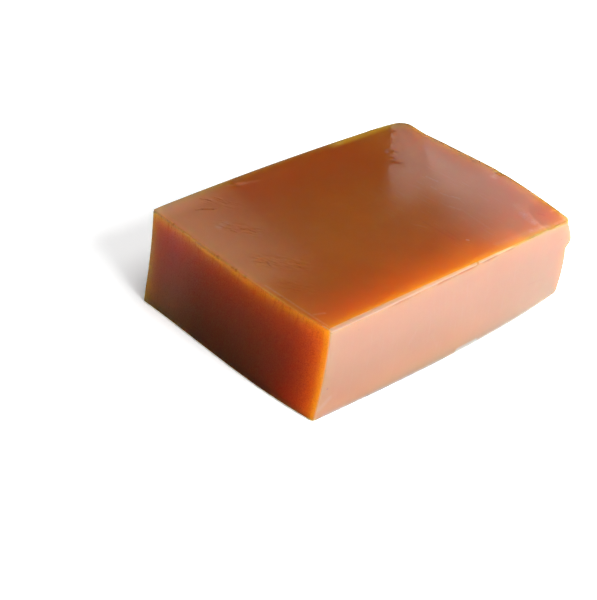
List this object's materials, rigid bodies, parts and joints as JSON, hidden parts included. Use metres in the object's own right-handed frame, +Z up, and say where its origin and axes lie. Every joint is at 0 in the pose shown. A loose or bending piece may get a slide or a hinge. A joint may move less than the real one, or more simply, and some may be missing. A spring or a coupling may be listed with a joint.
{
  "type": "marron glace paste block",
  "caption": "Rectangular block of firm, glossy brown marron glace paste, cut straight across at one end, that rests flat and is sliced to serve.",
  "frame": {"origin": "middle of the bounding box, on the flat underside", "axes": "+X along the bar from the knife cut to the moulded end, +Y across the bar to its back, +Z up from the underside"},
  "size_m": [0.1338, 0.0882, 0.035],
  "materials": {
    "paste": "translucent amber brown, glossy on the moulded faces and satin on the knife cut"
  },
  "bodies": {
    "root": {"paste_block": "paste"}
  },
  "joints": []
}
